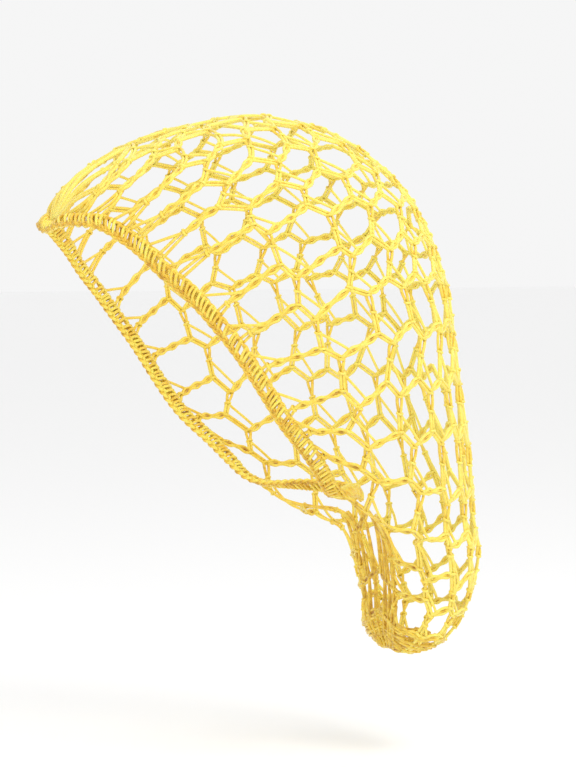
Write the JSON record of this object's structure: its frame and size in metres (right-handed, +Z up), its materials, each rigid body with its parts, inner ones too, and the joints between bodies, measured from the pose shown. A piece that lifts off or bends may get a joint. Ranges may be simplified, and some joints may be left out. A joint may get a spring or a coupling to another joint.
{
  "type": "crochet hair snood",
  "caption": "Soft crocheted honeycomb net worn over gathered hair, with a plaited band around its open edge.",
  "frame": {"origin": "the point inside the crown that rests on the top of the wearer's head", "axes": "+Z up towards the crown, -Y towards the wearer's face, +X towards the wearer's left"},
  "size_m": [0.176, 0.2593, 0.304],
  "materials": {
    "yarn": "satin yarn",
    "edge_yarn": "satin yarn, plaited"
  },
  "bodies": {
    "root": {"net": "yarn", "band": "edge_yarn"}
  },
  "joints": []
}
